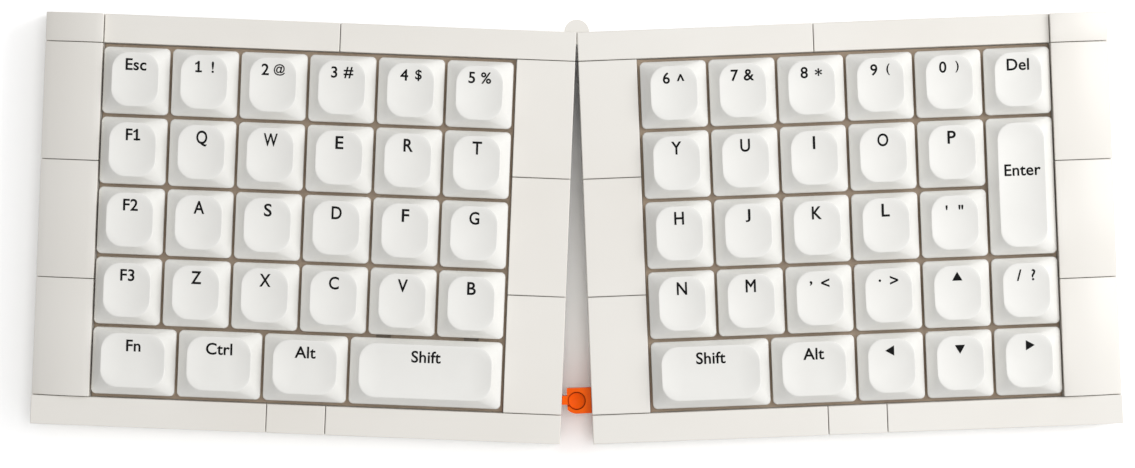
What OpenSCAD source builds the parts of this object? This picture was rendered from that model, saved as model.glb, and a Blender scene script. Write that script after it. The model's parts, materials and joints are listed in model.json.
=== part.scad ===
// Ergonomic split keyboard: two halves of keys in tiled stud frames, joined by a rear hinge
// and a post-and-hook coupling in the gap. Millimetres, +Z up, origin on the desk below its centre.

/* [Frame grid] */
// Distance between neighbouring studs of the frame
stud_pitch = 8; // [7.5:0.1:9]
// Diameter of a stud
stud_d = 4.8; // [4:0.1:5]
// Height of a stud
stud_h = 1.7; // [1.2:0.1:1.8]
// Thickness of a frame tile
tile_h = 3.2; // [3:0.1:4]
// Roof of a tile over its studs
tile_roof = 1.1; // [0.8:0.1:1.1]
// Height of an outer side tile at its inner edge, where its curved top is highest
curve_h = 4.7; // [4:0.1:5.5]
// Height of an outer side tile at its outer edge
curve_edge_h = 1.9; // [1.9:0.1:3]
// Room over the studs under an outer side tile
curve_room = 0.1; // [0.05:0.01:0.2]
// Room left round the edge of every tile and tray
edge_gap = 0.1; // [0.05:0.01:0.2]
// Room between a stud and the wall of its tile
stud_clear = 0.05; // [0.02:0.01:0.1]
// Studs across each side rail of a half
side_studs = 2; // [2:1:3]
// Studs in the short tile at the middle of the front rail
front_middle_studs = 2; // [1:1:4]
// Tiles along each side rail
side_tiles = 3; // [2:1:4]

/* [Split] */
// Angle between the two halves when they are coupled
split_angle = 4.54; // [3.6:0.02:6]

/* [Keys] */
// Distance from key to key across a row
key_pitch_x = 18.62; // [18:0.01:19.5]
// Distance from row to row
key_pitch_y = 19; // [18.5:0.01:19.5]
// How far the block of keys lies outwards from the middle of its opening
block_out = 0.2; // [0:0.05:0.25]
// Gap between two caps of a row
cap_gap_x = 0.65; // [0.5:0.05:1.2]
// Gap between two rows of caps
cap_gap_y = 0.85; // [0.5:0.05:1.4]
// Height of a cap
cap_h = 4.6; // [4.4:0.1:6]
// How far each side of a cap leans in at the top
cap_lean_side = 2.65; // [1.5:0.05:3]
// How far the rear of a cap leans in at the top
cap_lean_rear = 1.45; // [1:0.05:2.2]
// How far the front of a cap leans in at the top
cap_lean_front = 2.1; // [1:0.05:2.6]
// Corner radius at the foot of a cap
cap_corner_r = 1.3; // [0.8:0.1:2]
// Radius of the round that takes the corners off the top of a cap
cap_top_round = 8.3; // [7.8:0.1:9]
// Depth of the dish in a cap
dish_depth = 0.8; // [0.4:0.1:1]
// Radius of the ball that the dish follows
dish_r = 31; // [26:1:60]
// Wall of a cap
cap_wall = 1.2; // [0.8:0.05:1.3]
// Roof of a cap below its dish
cap_roof = 1.2; // [1:0.05:1.3]

/* [Switches] */
// How far a key travels down
travel = 2.8; // [2:0.1:3]
// Room left under a cap, a stem or a ceiling at full travel
travel_room = 0.3; // [0.2:0.05:0.5]
// Width of the switch body below the plate
switch_w = 13.8; // [13:0.1:14]
// Width of the flange that rests on the plate
flange_w = 14.8; // [14.6:0.1:15]
// Thickness of the flange
flange_h = 0.6; // [0.4:0.1:0.8]
// Width of the switch body above the flange
switch_top_w = 11.4; // [10:0.1:11.8]
// Height of a switch above the plate
switch_top_h = 2.4; // [2:0.1:2.5]
// Corner radius of a switch and of its hole in the plate
switch_corner_r = 0.3; // [0.2:0.1:0.6]
// Floor of a switch
switch_floor = 0.6; // [0.4:0.1:1]
// Diameter of a stem
stem_d = 5.9; // [5.5:0.1:6.4]
// Running room between stem and switch
stem_gap = 0.1; // [0.05:0.01:0.2]
// Roof of a stem over its spring
stem_roof = 1.2; // [0.8:0.1:1.6]
// Length of an arm of the cross that a cap sits on
cross_l = 4; // [3:0.1:4.4]
// Width of an arm of the cross
cross_w = 1.2; // [1:0.1:1.5]
// Height of the cross
cross_h = 0.6; // [0.4:0.1:0.8]
// Outer diameter of a spring
spring_d = 4; // [3.4:0.1:4.2]
// Diameter of a spring's wire
spring_wire = 0.4; // [0.3:0.05:0.6]
// Distance from the middle of a wide key to each of its guides
guide_reach = 11.94; // [11:0.01:12.5]
// Diameter of a guide post
guide_post_d = 3; // [2.4:0.1:3.4]
// Height of a guide above the plate
guide_top_h = 2.2; // [1.8:0.1:2.4]
// Width of a guide block
guide_w = 6; // [5.4:0.1:6.2]
// Width of the plate slot behind a guide
guide_slot_w = 4; // [3:0.1:5]
// How far the plate slot runs behind the middle of the key
guide_slot_reach = 10; // [8:0.1:10.5]

/* [Case] */
// How far the feet stand out below the tray
foot_stand = 1.2; // [0.8:0.1:2]
// How deep the feet are let into the tray
foot_sunk = 0.5; // [0.3:0.1:0.8]
// Diameter of a foot
foot_d = 12; // [8:0.5:14]
// Length of the solid block over each foot
foot_block = 24; // [20:1:28]
// Height of the tray, without its studs
tray_h = 9.6; // [9.2:0.1:11]
// Floor of the tray
floor_t = 1.6; // [1.2:0.1:2]
// Wall round the hollows under the rails
rail_wall = 1.6; // [1.2:0.1:2]
// Thickness of the switch plate
plate_t = 1.2; // [1:0.1:1.5]
// Room between the edge of the switch plate and the rails
plate_gap = 0.1; // [0.05:0.01:0.3]
// How far the switch plate lies below the rim
plate_sunk = 0.8; // [0.4:0.1:1.2]
// Gap between circuit board and switch plate
board_gap = 1.2; // [0.8:0.1:1.4]
// Thickness of the circuit board
board_t = 1.2; // [1:0.1:1.6]
// Room between the inner pieces and the tray's walls
fit_gap = 0.3; // [0.1:0.05:0.5]
// Air between pieces that seat on each other inside one group
seat_gap = 0.05; // [0.02:0.01:0.1]
// Length of the battery
battery_l = 52; // [30:1:70]
// Depth of the battery
battery_d = 34; // [20:1:40]
// Corner radius of the battery
battery_corner_r = 2; // [1:0.5:4]
// Thickness of the battery
battery_h = 3; // [2:0.1:3.2]
// Diameter of a screw's shank
screw_d = 2; // [1.6:0.1:2.2]
// Diameter of a screw's head
screw_head_d = 4; // [3.4:0.1:4.2]
// Height of a screw's head
screw_head_h = 1.4; // [1:0.1:1.6]
// How deep the head's seat lies in the tray
screw_sunk = 2; // [1.7:0.1:2.4]
// Diameter of a screw boss
boss_d = 6.4; // [5.8:0.1:6.6]
// Room round a screw in its holes
screw_gap = 0.1; // [0.05:0.01:0.2]
// Skin of the switch plate over the end of a screw
screw_skin = 0.3; // [0.2:0.05:0.4]

/* [Charging socket] */
// Width of the socket
socket_w = 9; // [8.6:0.1:9.4]
// Height of the socket
socket_h = 3.2; // [3:0.1:3.4]
// Depth of the socket
socket_l = 7.3; // [6.5:0.1:8]
// Shell of the socket
socket_wall = 0.4; // [0.3:0.05:0.5]
// Width of the recess for the plug
plug_w = 12; // [11:0.1:13]
// Height of the recess for the plug
plug_h = 6; // [5.2:0.1:6.4]
// Depth of the recess for the plug
plug_depth = 5.5; // [4.8:0.1:6]
// Distance of the socket from the hinge end of a half
socket_x = 96; // [80:1:110]

// Width of the controller behind the socket
chip_w = 8; // [5:0.5:10]
// Thickness of the controller
chip_h = 1; // [0.8:0.1:1.4]

/* [Hinge] */
// Radius of a hinge ear
ear_r = 3.4; // [3:0.1:3.8]
// Skin of the hinge tiles over the ears
ear_skin = 0.6; // [0.4:0.1:0.8]
// Thickness of the upper ear
ear_h = 1.2; // [1:0.05:1.3]
// Roof of the upper ear over the pin
ear_roof = 0.3; // [0.2:0.05:0.4]
// Room above and below the ears
ear_gap = 0.1; // [0.05:0.01:0.15]
// Room round the ears
ear_room = 0.2; // [0.1:0.05:0.3]
// Radius of the hinge pin
pin_r = 1.5; // [1:0.1:2]
// Running room round the hinge pin
pin_gap = 0.05; // [0.02:0.01:0.1]

/* [Coupling] */
// Thickness of the coupling plates
link_h = 3.2; // [2.8:0.1:3.4]
// Radius of the round post
post_r = 2.2; // [2:0.05:2.3]
// Height of the round post
post_h = 4.6; // [4:0.1:5]
// Depth of the dish in the post's top
post_dish_depth = 0.35; // [0.2:0.05:0.5]
// Radius of the ball that the post's dish follows
post_dish_r = 6; // [5:0.5:9]
// Width of the neck behind the post
neck_w = 2.4; // [2:0.1:2.8]
// Height of the neck
neck_h = 2.4; // [2:0.1:2.8]
// Room round the post in the hook
hook_gap = 0.3; // [0.2:0.05:0.4]
// Half depth of the hook
hook_r = 3.47; // [3.4:0.01:3.8]
// How far the hook reaches past the middle of the post
hook_reach = 2.6; // [2.55:0.05:2.8]
// Roof of the hook
hook_roof = 0.5; // [0.4:0.05:0.7]
// Floor of the hook under the post
hook_floor = 0.8; // [0.6:0.05:1]
// Room round the post and the neck in the hook's roof
window_gap = 0.25; // [0.15:0.05:0.25]

/* [Hidden] */
LEFT = -1;
RIGHT = 1;
KEY_COLUMNS = 6;
KEY_ROWS = 5;
slack = 0.01;
half_angle = split_angle / 2;

// Studs inside and across a half: the opening is the least number of studs that holds the keys
inner_studs_x = ceil(KEY_COLUMNS * key_pitch_x / stud_pitch - slack);
inner_studs_y = ceil(KEY_ROWS * key_pitch_y / stud_pitch - slack);
studs_x = inner_studs_x + 2 * side_studs;
studs_y = inner_studs_y + 2;
half_w = studs_x * stud_pitch;
half_d = studs_y * stud_pitch;
opening_w = inner_studs_x * stud_pitch;
opening_d = inner_studs_y * stud_pitch;
rail_w = side_studs * stud_pitch;
tile_wall = (stud_pitch - 2 * edge_gap - stud_d) / 2 - stud_clear;
curve_r = (pow(rail_w, 2) + pow(curve_h - curve_edge_h, 2)) / (2 * (curve_h - curve_edge_h));

// The hinge axis lies so that the whole outline is centred on the origin
far_y = (half_w - edge_gap) * sin(half_angle) - edge_gap * cos(half_angle);
near_y = edge_gap * sin(half_angle) - (half_d - edge_gap) * cos(half_angle);
hinge_y = -(far_y + near_y) / 2;

// Levels of the stack
tray_z = foot_stand;
floor_z = tray_z + floor_t;
rim_z = tray_z + tray_h;
tile_z = rim_z + tile_h;
plate_z = rim_z - plate_sunk;
plate_low_z = plate_z - plate_t;
board_z = plate_low_z - board_gap;
board_low_z = board_z - board_t;
switch_z = plate_z + switch_top_h;
bore_z = board_z + switch_floor;
cap_z = plate_z + travel + travel_room;
ceiling_h = cap_h - dish_depth - cap_roof;
stem_z = bore_z + travel + travel_room;
stem_h = cap_z + ceiling_h - seat_gap - stem_z;
guide_z = plate_z + guide_top_h;
post_low_z = bore_z + travel + travel_room;

// Hinge levels, from the top of the tiles down
ear_top_z = tile_z - ear_skin - ear_gap;
ear_mid_z = ear_top_z - ear_h - ear_gap / 2;
ear_low_z = rim_z + ear_gap;

// Place of the coupling: on the last stud row of the side rails
link_y = (studs_y - 1.5) * stud_pitch;
link_z = rim_z - link_h;
post_x = link_y * tan(half_angle);
post_z = rim_z - link_h / 2 - post_h / 2;
hook_low_z = post_z - hook_gap - hook_floor;
hook_z = post_z + post_h + hook_gap;
hook_top_z = hook_z + hook_roof;

// Runs of tiles, in studs, counted from the hinge end
hinge_run = floor((studs_x - side_studs) / 2);
rear_run = studs_x - side_studs - hinge_run;
front_run = floor((studs_x - front_middle_studs) / 2);
front_runs = [front_run, front_middle_studs, studs_x - front_middle_studs - front_run];
side_runs = [for (i = [0:side_tiles - 1])
    floor((i + 1) * inner_studs_y / side_tiles) - floor(i * inner_studs_y / side_tiles)];

// Rows of keys from left to right: node, width in pitches, depth in rows
LEFT_ROWS = [
    [["key_esc", 1, 1], for (i = [1:5]) ["left_number_keys", 1, 1]],
    [["function_keys", 1, 1], for (c = "qwert") [str("key_", c), 1, 1]],
    [["function_keys", 1, 1], for (c = "asdfg") [str("key_", c), 1, 1]],
    [["function_keys", 1, 1], for (c = "zxcvb") [str("key_", c), 1, 1]],
    [for (i = [1:3]) ["modifier_keys", 1.25, 1], ["key_left_shift", 2.25, 1]]
];
RIGHT_ROWS = [
    [for (i = [6:10]) ["right_number_keys", 1, 1], ["key_del", 1, 1]],
    [for (c = "yuiop") [str("key_", c), 1, 1], ["key_enter", 1, 2]],
    [for (c = "hjkl") [str("key_", c), 1, 1], ["punctuation_keys", 1, 1]],
    [for (c = "nm") [str("key_", c), 1, 1], for (i = [1:2]) ["punctuation_keys", 1, 1],
        ["arrow_keys", 1, 1], ["punctuation_keys", 1, 1]],
    [["key_right_shift", 1.75, 1], ["key_right_alt", 1.25, 1], for (i = [1:3]) ["arrow_keys", 1, 1]]
];
LEFT_KEY_NODES = ["key_esc", "left_number_keys", "function_keys", "modifier_keys", "key_left_shift",
    for (c = "qwertasdfgzxcvb") str("key_", c)];
RIGHT_KEY_NODES = ["right_number_keys", "key_del", "key_enter", "punctuation_keys", "arrow_keys",
    "key_right_shift", "key_right_alt", for (c = "yuiophjklnm") str("key_", c)];
CASE_PIECES = ["base_tray", "frame_tiles", "hinge_tile", "switch_plate", "circuit_board",
    "switches", "switch_springs", "battery", "feet", "screws"];

// Corners between keys where the plate is screwed down: columns and rows before the corner
SCREW_CORNERS = [[1, 1], [5, 1], [3, 2], [1, 3], [5, 3]];
STABILISED_PITCHES = 2;
$fn = 48;

function total(list, count) = count <= 0 ? 0 : list[count - 1] + total(list, count - 1);
function rows_of(side) = side == LEFT ? LEFT_ROWS : RIGHT_ROWS;
function block_x(side) = (side == LEFT ? -rail_w - opening_w : rail_w)
    + (opening_w - KEY_COLUMNS * key_pitch_x) / 2 + side * block_out;
function block_y() = -stud_pitch - (opening_d - KEY_ROWS * key_pitch_y) / 2;
// Each key of a half as node, place in the half, and width and depth in pitches
function keys_of(side) = [for (r = [0:KEY_ROWS - 1]) let (row = rows_of(side)[r])
    for (i = [0:len(row) - 1]) let (widths = [for (k = row) k[1]])
        [row[i][0], block_x(side) + (total(widths, i) + row[i][1] / 2) * key_pitch_x,
            block_y() - (r + row[i][2] / 2) * key_pitch_y, row[i][1], row[i][2]]];
function is_stabilised(k) = max(k[3], k[4]) >= STABILISED_PITCHES;

// Puts a half, drawn with its hinge corner at the origin, in its place
module half(side) {
    translate([0, hinge_y, 0]) rotate([0, 0, side * half_angle]) children();
}

// Puts a piece drawn for the right half on either half
module on_half(side) {
    half(side) mirror([side == LEFT ? 1 : 0, 0, 0]) children();
}

// A block between two corners
module block(low, high) {
    translate(low) cube(high - low);
}

// An upright block with rounded corners, centred on the origin
module rounded_block(w, d, h, r) {
    linear_extrude(h) {
        square([w - 2 * r, d], center = true);
        square([w, d - 2 * r], center = true);
        for (x = [-1, 1], y = [-1, 1]) translate([x * (w / 2 - r), y * (d / 2 - r)]) circle(r);
    }
}

// A bar along Y with a given outline in X and Z
module bar_y(length, outline) {
    rotate([90, 0, 0]) linear_extrude(length, center = true) polygon(outline);
}

// A bar along X with a given outline in Y and Z
module bar_x(length, outline) {
    rotate([90, 0, 90]) linear_extrude(length, center = true) polygon(outline);
}

// A block whose four sides lean in towards the top, drawn in by a wall all round
module leaning_block(w, d, h, wall) {
    x = w / 2 - wall;
    y = d / 2 - wall;
    side = cap_lean_side * h / cap_h;
    rear = cap_lean_rear * h / cap_h;
    front = cap_lean_front * h / cap_h;
    intersection() {
        bar_y(d, [[-x, 0], [x, 0], [x - side, h], [side - x, h]]);
        bar_x(w, [[-y, 0], [y, 0], [y - rear, h], [front - y, h]]);
    }
}

// A cone stretched along X or Y that rounds the corners of a cap's top
module corner_cone(stretch_x, stretch_y) {
    low = cap_top_round + cap_h;
    outline = [[-low, 0], [low, 0], [cap_top_round, cap_h], [-cap_top_round, cap_h]];
    for (s = [-0.5, 0.5]) translate([s * stretch_x, s * stretch_y, 0])
        cylinder(h = cap_h, r1 = low, r2 = cap_top_round);
    if (stretch_x > 0) bar_x(stretch_x, outline);
    if (stretch_y > 0) bar_y(stretch_y, outline);
}

// The dish in a cap's top, stretched along X or Y
module dish(stretch_x, stretch_y) {
    for (s = [-0.5, 0.5]) translate([s * stretch_x, s * stretch_y, 0]) sphere(dish_r);
    if (stretch_x > 0) rotate([0, 90, 0]) cylinder(h = stretch_x, r = dish_r, center = true);
    if (stretch_y > 0) rotate([90, 0, 0]) cylinder(h = stretch_y, r = dish_r, center = true);
}

// The cross on a stem, or with room added, the seat for it in a cap
module cross(room, h) {
    for (turn = [0, 90]) rotate([0, 0, turn])
        translate([-cross_l / 2 - room, -cross_w / 2 - room, 0])
            cube([cross_l + 2 * room, cross_w + 2 * room, h]);
}

// Both guide places of a wide key, along its longer side
module at_guides(k) {
    for (s = [-1, 1])
        translate(k[3] > k[4] ? [s * guide_reach, 0, 0] : [0, s * guide_reach, 0]) children();
}

// A keycap with its foot at z = 0
module cap(k) {
    w = k[3] * key_pitch_x - cap_gap_x;
    d = k[4] * key_pitch_y - cap_gap_y;
    stretch_x = w - (key_pitch_x - cap_gap_x);
    stretch_y = d - (key_pitch_y - cap_gap_y);
    top_shift = (cap_lean_front - cap_lean_rear) / 2;
    difference() {
        intersection() {
            leaning_block(w, d, cap_h, 0);
            rounded_block(w, d, cap_h, cap_corner_r);
            translate([0, top_shift, 0]) corner_cone(stretch_x, stretch_y);
        }
        translate([0, top_shift, cap_h - dish_depth + dish_r]) dish(stretch_x, stretch_y);
        leaning_block(w, d, ceiling_h, cap_wall);
        cross(seat_gap, ceiling_h + cross_h + seat_gap);
    }
    if (is_stabilised(k)) at_guides(k) translate([0, 0, post_low_z - cap_z])
        cylinder(h = cap_z - post_low_z + ceiling_h + cap_roof / 2, d = guide_post_d);
}

// The sliding stem below a cap, a tube closed at the top
module stem() {
    difference() {
        union() {
            cylinder(h = stem_h, d = stem_d);
            cross(0, stem_h + cross_h);
        }
        translate([0, 0, -slack]) cylinder(h = stem_h - stem_roof + slack, d = spring_d + 2 * seat_gap);
    }
}

// All keys of one node: caps and their stems
module key_node(side, name) {
    color("white") for (k = keys_of(side)) if (k[0] == name) half(side) translate([k[1], k[2], 0]) {
        translate([0, 0, cap_z]) cap(k);
        translate([0, 0, stem_z]) stem();
    }
}

// Places of the screws in a half
module at_screws(side) {
    for (c = SCREW_CORNERS)
        translate([block_x(side) + c[0] * key_pitch_x, block_y() - c[1] * key_pitch_y, 0]) children();
}

// Places of the feet in a right half, at the ends of the side rails
module at_feet() {
    for (x = [rail_w / 2, half_w - rail_w / 2], y = [stud_pitch, half_d - stud_pitch - foot_block])
        translate([x, -y - foot_block / 2, 0]) children();
}

// A stud of the frame grid
module stud(i, j, z) {
    translate([(i + 0.5) * stud_pitch, -(j + 0.5) * stud_pitch, z]) cylinder(h = stud_h, d = stud_d);
}

// Whether a place of the grid lies on the rim and carries a stud of the tray
function rim_stud(i, j) = let (
    on_rim = j == 0 || j == studs_y - 1 || i < side_studs || i >= studs_x - side_studs,
    at_hinge = i == 0 && j == 0,
    at_link = i < side_studs && j == studs_y - 2)
    on_rim && !at_hinge && !at_link;

// The hollow under the tray's rails, open below
module rail_hollows() {
    roof_z = rim_z - rail_wall;
    inner_l = half_d - 2 * stud_pitch - 2 * foot_block;
    for (x = [0, half_w - rail_w])
        block([x + rail_wall, -stud_pitch - foot_block - inner_l, tray_z - slack],
            [x + rail_w - rail_wall, -stud_pitch - foot_block, roof_z]);
    block([rail_w, rail_wall - half_d, tray_z - slack],
        [half_w - rail_w, stud_pitch - rail_wall - half_d, roof_z]);
}

// The way into the charging socket through the rear rail
module socket_way() {
    z = board_low_z - socket_h / 2;
    block([socket_x - plug_w / 2, -plug_depth, z - plug_h / 2],
        [socket_x + plug_w / 2, slack, z + plug_h / 2]);
    block([socket_x - socket_w / 2 - fit_gap, -stud_pitch - slack, z - socket_h / 2 - fit_gap],
        [socket_x + socket_w / 2 + fit_gap, slack - plug_depth, z + socket_h / 2 + fit_gap]);
}

// The tray of a half: floor, rails with studs, screw bosses and the seats of feet and coupling
module base_tray(side) {
    color("#e9e6df") difference() {
        union() {
            on_half(side) difference() {
                block([edge_gap, edge_gap - half_d, tray_z], [half_w - edge_gap, -edge_gap, rim_z]);
                block([rail_w, stud_pitch - half_d, floor_z], [half_w - rail_w, -stud_pitch, rim_z + slack]);
                rail_hollows();
                socket_way();
                at_feet() translate([0, 0, tray_z - slack])
                    cylinder(h = foot_sunk + slack, d = foot_d + 2 * seat_gap);
                block([-slack, -link_y - stud_pitch / 2, link_z],
                    [rail_w + slack, stud_pitch / 2 - link_y, rim_z + slack]);
            }
            on_half(side) for (i = [0:studs_x - 1], j = [0:studs_y - 1]) if (rim_stud(i, j))
                translate([0, 0, -slack]) stud(i, j, rim_z);
            half(side) at_screws(side) translate([0, 0, tray_z])
                cylinder(h = plate_low_z - tray_z, d = boss_d);
        }
        half(side) at_screws(side) translate([0, 0, tray_z - slack]) {
            cylinder(h = plate_low_z, d = screw_d + 2 * screw_gap);
            cylinder(h = screw_sunk + slack, d = screw_head_d + 2 * screw_gap);
        }
    }
}

// A hollow tile that covers a run of studs
module tile(i, j, nx, ny, top_z = tile_z, ceiling_z = tile_z - tile_roof) {
    low = [i * stud_pitch + edge_gap, -(j + ny) * stud_pitch + edge_gap];
    high = [(i + nx) * stud_pitch - edge_gap, -j * stud_pitch - edge_gap];
    difference() {
        block([low[0], low[1], rim_z], [high[0], high[1], top_z]);
        block([low[0] + tile_wall, low[1] + tile_wall, rim_z - slack],
            [high[0] - tile_wall, high[1] - tile_wall, ceiling_z]);
    }
}

// A tile of the outer side rail, whose top curves down towards the outside
module curved_tile(j, ny) {
    intersection() {
        tile(studs_x - side_studs, j, side_studs, ny, rim_z + curve_h, rim_z + stud_h + curve_room);
        translate([half_w - rail_w, -(j + ny / 2) * stud_pitch, rim_z + curve_h - curve_r])
            rotate([90, 0, 0]) cylinder(h = (ny + 1) * stud_pitch, r = curve_r, center = true);
    }
}

// The eleven plain tiles of a half: rear rail, front rail and both side rails, the outer one curved
module frame_tiles(side) {
    color("#ece9e3") on_half(side) {
        tile(hinge_run, 0, rear_run, 1);
        curved_tile(0, 1);
        for (n = [0:len(front_runs) - 1]) tile(total(front_runs, n), studs_y - 1, front_runs[n], 1);
        for (n = [0:len(side_runs) - 1]) {
            tile(0, 1 + total(side_runs, n), side_studs, side_runs[n]);
            curved_tile(1 + total(side_runs, n), side_runs[n]);
        }
    }
}

// The rear tile at the hinge: the left one has the lower ear and the pin, the right one the upper ear
module hinge_tile(side) {
    color("#ece9e3") on_half(side) {
        difference() {
            union() {
                block([edge_gap, edge_gap - stud_pitch, rim_z],
                    [hinge_run * stud_pitch - edge_gap, -edge_gap, tile_z]);
                if (side == RIGHT) translate([0, 0, ear_mid_z + ear_gap / 2]) cylinder(h = ear_h, r = ear_r);
            }
            block([stud_pitch + edge_gap + tile_wall, edge_gap + tile_wall - stud_pitch, rim_z - slack],
                [hinge_run * stud_pitch - edge_gap - tile_wall, -edge_gap - tile_wall, tile_z - tile_roof]);
            if (side == LEFT)
                translate([0, 0, ear_mid_z - ear_gap / 2])
                    cylinder(h = ear_h + 2 * ear_gap, r = ear_r + ear_room);
            else {
                translate([0, 0, rim_z - slack])
                    cylinder(h = ear_mid_z + ear_gap / 2 - rim_z + slack, r = ear_r + ear_room);
                translate([0, 0, rim_z]) cylinder(h = ear_top_z - ear_roof - rim_z, r = pin_r + pin_gap);
            }
        }
        if (side == LEFT) {
            translate([0, 0, ear_low_z]) cylinder(h = ear_mid_z - ear_gap / 2 - ear_low_z, r = ear_r);
            translate([0, 0, ear_low_z]) cylinder(h = ear_top_z - ear_roof - ear_gap - ear_low_z, r = pin_r);
        }
    }
}

// The taupe plate that the switches snap into
module switch_plate(side) {
    color("#6e6258") half(side) difference() {
        mirror([side == LEFT ? 1 : 0, 0, 0])
            block([rail_w + plate_gap, stud_pitch + plate_gap - half_d, plate_low_z],
                [half_w - rail_w - plate_gap, -stud_pitch - plate_gap, plate_z]);
        for (k = keys_of(side)) translate([k[1], k[2], plate_low_z - slack]) {
            plate_hole(switch_w);
            if (is_stabilised(k)) at_guides(k) {
                plate_hole(guide_w);
                if (k[3] > k[4]) block([-guide_slot_w / 2, 0, 0],
                    [guide_slot_w / 2, guide_slot_reach, plate_t + 2 * slack]);
            }
        }
        at_screws(side) translate([0, 0, plate_low_z - slack])
            cylinder(h = plate_t - screw_skin + slack, d = screw_d + 2 * screw_gap);
    }
}

// The square hole in the plate round a switch or a guide
module plate_hole(w) {
    rounded_block(w + 2 * stem_gap, w + 2 * stem_gap, plate_t + 2 * slack, switch_corner_r);
}

// The circuit board with its charging socket and controller below
module circuit_board(side) {
    half(side) {
        color("#c4ae94") difference() {
            mirror([side == LEFT ? 1 : 0, 0, 0])
                block([rail_w + fit_gap, stud_pitch + fit_gap - half_d, board_low_z],
                    [half_w - rail_w - fit_gap, -stud_pitch - fit_gap, board_z]);
            at_screws(side) translate([0, 0, board_low_z - slack])
                cylinder(h = board_t + 2 * slack, d = boss_d + 2 * fit_gap);
        }
        mirror([side == LEFT ? 1 : 0, 0, 0]) translate([socket_x, -plug_depth, board_low_z - seat_gap]) {
            color("silver") charging_socket();
            color("#26282a") translate([0, -socket_l, 0]) controller();
        }
    }
}

// The charging socket, its mouth at y = 0 and its top at z = 0
module charging_socket() {
    mouth_h = socket_h - 2 * socket_wall;
    mouth_w = socket_w - 2 * socket_wall;
    translate([0, -socket_l, -socket_h / 2]) rotate([-90, 0, 0]) difference() {
        rounded_block(socket_w, socket_h, socket_l, socket_h / 2 - slack);
        translate([0, 0, socket_wall]) rounded_block(mouth_w, mouth_h, socket_l, mouth_h / 2 - slack);
    }
}

// The controller behind the charging socket, its top at z = 0
module controller() {
    block([-chip_w / 2, -chip_w - chip_h, -chip_h], [chip_w / 2, -chip_h, 0]);
}

// The switch bodies of a half and the guides of its wide key
module switches(side) {
    color("#d6cdbf") for (k = keys_of(side)) half(side) translate([k[1], k[2], 0]) {
        switch_body(switch_w, stem_d + 2 * stem_gap, true);
        if (is_stabilised(k)) at_guides(k) switch_body(guide_w, guide_post_d + 2 * stem_gap, false);
    }
}

// A switch body or a guide, standing on the board and reaching through the plate
module switch_body(w, bore_d, flanged) {
    top_z = flanged ? switch_z : guide_z;
    top_w = flanged ? switch_top_w : w;
    difference() {
        union() {
            translate([0, 0, board_z]) rounded_block(w, w, plate_z - board_z, switch_corner_r);
            if (flanged) translate([0, 0, plate_z])
                rounded_block(flange_w, flange_w, flange_h, switch_corner_r);
            translate([0, 0, plate_z]) rounded_block(top_w, top_w, top_z - plate_z, switch_corner_r);
        }
        translate([0, 0, bore_z]) cylinder(h = top_z - bore_z + slack, d = bore_d);
    }
}

// The return springs of a half, inside the stems
module switch_springs(side) {
    length = stem_z + stem_h - stem_roof - seat_gap - bore_z;
    color("silver") for (k = keys_of(side)) half(side) translate([k[1], k[2], bore_z]) difference() {
        cylinder(h = length, d = spring_d);
        translate([0, 0, -slack]) cylinder(h = length + 2 * slack, d = spring_d - 2 * spring_wire);
    }
}

// The flat battery on the tray's floor, clear of the screw bosses
module battery(side) {
    y = block_y() - 4 * key_pitch_y;
    x = block_x(side) + KEY_COLUMNS * key_pitch_x / 2;
    color("#9aa0a6") half(side) translate([x, y, floor_z])
        rounded_block(battery_l, battery_d, battery_h, battery_corner_r);
}

// Rubber feet under the ends of the side rails
module feet(side) {
    color("#3b3b3b") on_half(side) at_feet() cylinder(h = foot_stand + foot_sunk, d = foot_d);
}

// Screws that hold the plate down on the bosses, from below
module screws(side) {
    color("silver") half(side) at_screws(side) translate([0, 0, tray_z + screw_sunk]) {
        translate([0, 0, -screw_head_h]) cylinder(h = screw_head_h, d = screw_head_d);
        cylinder(h = plate_z - screw_skin - seat_gap - tray_z - screw_sunk, d = screw_d);
    }
}

// The plate of a coupling piece, with its studs, in the rail of a right half
module link_plate() {
    block([edge_gap, edge_gap - link_y - stud_pitch / 2, link_z],
        [rail_w - edge_gap, stud_pitch / 2 - edge_gap - link_y, rim_z]);
    for (i = [0:side_studs - 1]) stud(i, studs_y - 2, rim_z);
}

// The left coupling piece: a neck, raised to the hook's top in the gap, and a round dished post
module post_link() {
    color("#ee5f14") half(LEFT) {
        mirror([1, 0, 0]) link_plate();
        block([-rail_w / 2, -link_y - neck_w / 2, rim_z - link_h / 2 - neck_h / 2],
            [post_x, -link_y + neck_w / 2, rim_z - link_h / 2 + neck_h / 2]);
        difference() {
            block([0, -link_y - neck_w / 2, rim_z - link_h / 2], [post_x, -link_y + neck_w / 2, hook_top_z]);
            translate([post_x, -link_y, rim_z - link_h / 2 + neck_h / 2])
                cylinder(h = post_h, r = post_r + window_gap);
        }
        translate([post_x, -link_y, post_z]) difference() {
            cylinder(h = post_h, r = post_r);
            translate([0, 0, post_h - post_dish_depth + post_dish_r]) sphere(post_dish_r);
        }
    }
}

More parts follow.
